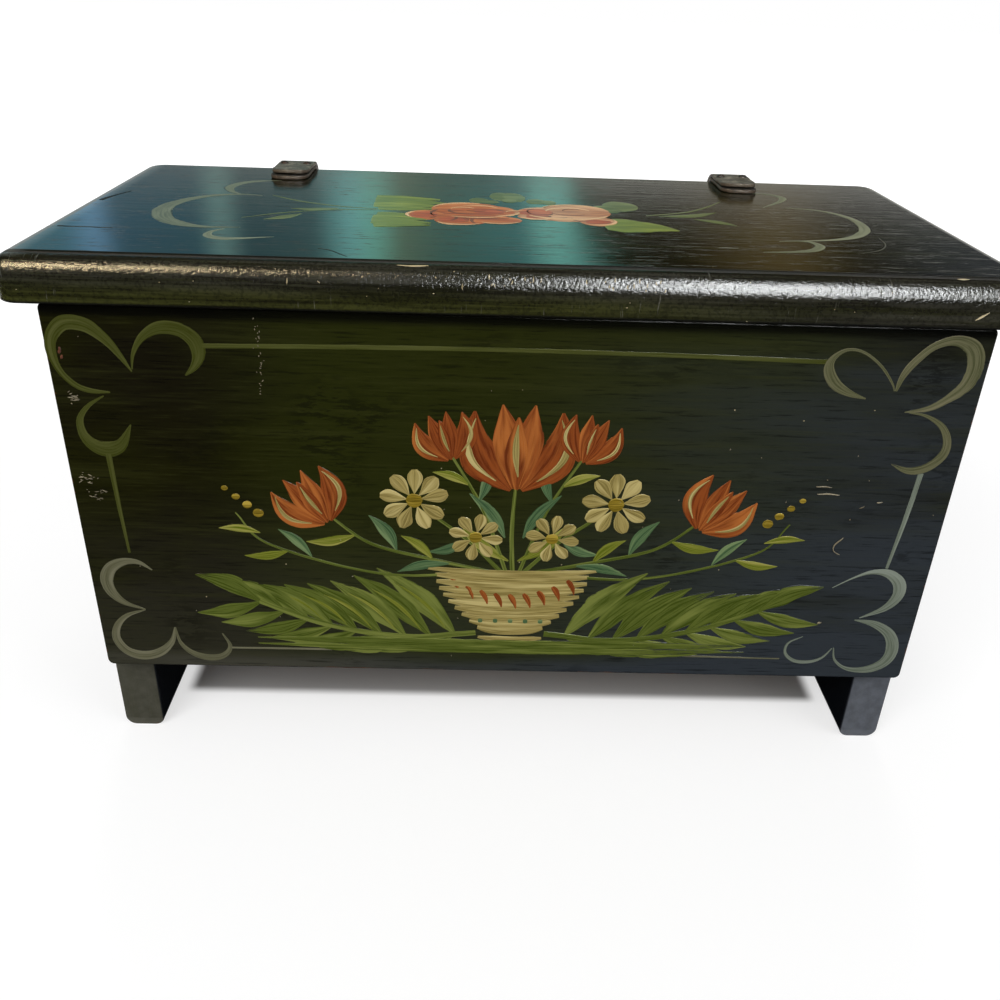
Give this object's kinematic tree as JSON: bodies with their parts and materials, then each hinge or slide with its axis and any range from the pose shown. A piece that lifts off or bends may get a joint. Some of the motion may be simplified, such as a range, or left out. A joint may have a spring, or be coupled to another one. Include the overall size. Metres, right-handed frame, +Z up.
{
  "type": "miniature blanket chest",
  "caption": "Small six-board chest with end boards that run down as arched feet, and a moulded overhanging lid on leather strap hinges.",
  "frame": {"origin": "bottom centre of the whole chest, on the surface it stands on", "axes": "+Z up, -Y towards the decorated front, +X along the width to the right as seen from the front"},
  "size_m": [0.41, 0.2084, 0.2454],
  "materials": {
    "case_paint": "old semi-gloss black-green paint on pine, painted front",
    "lid_paint": "old gloss black paint on pine, worn edges",
    "bare_pine": "aged unpainted pine",
    "strap_leather": "black painted leather, cut edges worn brown",
    "tack_iron": "painted over, dull",
    "nail_steel": "plain wire nails, hidden under filler"
  },
  "bodies": {
    "case": {"front_board": "case_paint", "back_board": "case_paint", "left_end_board": "case_paint", "right_end_board": "case_paint", "bottom_board": "bare_pine", "left_strap_case_inner_ply": "strap_leather", "left_strap_case_outer_ply": "strap_leather", "right_strap_case_inner_ply": "strap_leather", "right_strap_case_outer_ply": "strap_leather", "left_case_tacks": "tack_iron", "right_case_tacks": "tack_iron", "front_left_nails": "nail_steel", "front_right_nails": "nail_steel", "back_left_nails": "nail_steel", "back_right_nails": "nail_steel", "bottom_front_nails": "nail_steel", "bottom_back_nails": "nail_steel", "bottom_left_nails": "nail_steel", "bottom_right_nails": "nail_steel"},
    "lid": {"lid_board": "lid_paint", "left_strap_lid_inner_ply": "strap_leather", "left_strap_lid_outer_ply": "strap_leather", "right_strap_lid_inner_ply": "strap_leather", "right_strap_lid_outer_ply": "strap_leather", "left_lid_tacks": "tack_iron", "right_lid_tacks": "tack_iron"}
  },
  "joints": [
    {"name": "lid_hinge", "type": "hinge", "parent": "case", "child": "lid", "pos_m": [0, 0.103, 0.22075], "axis": [-1, 0, 0], "range_deg": [0, 165]}
  ]
}
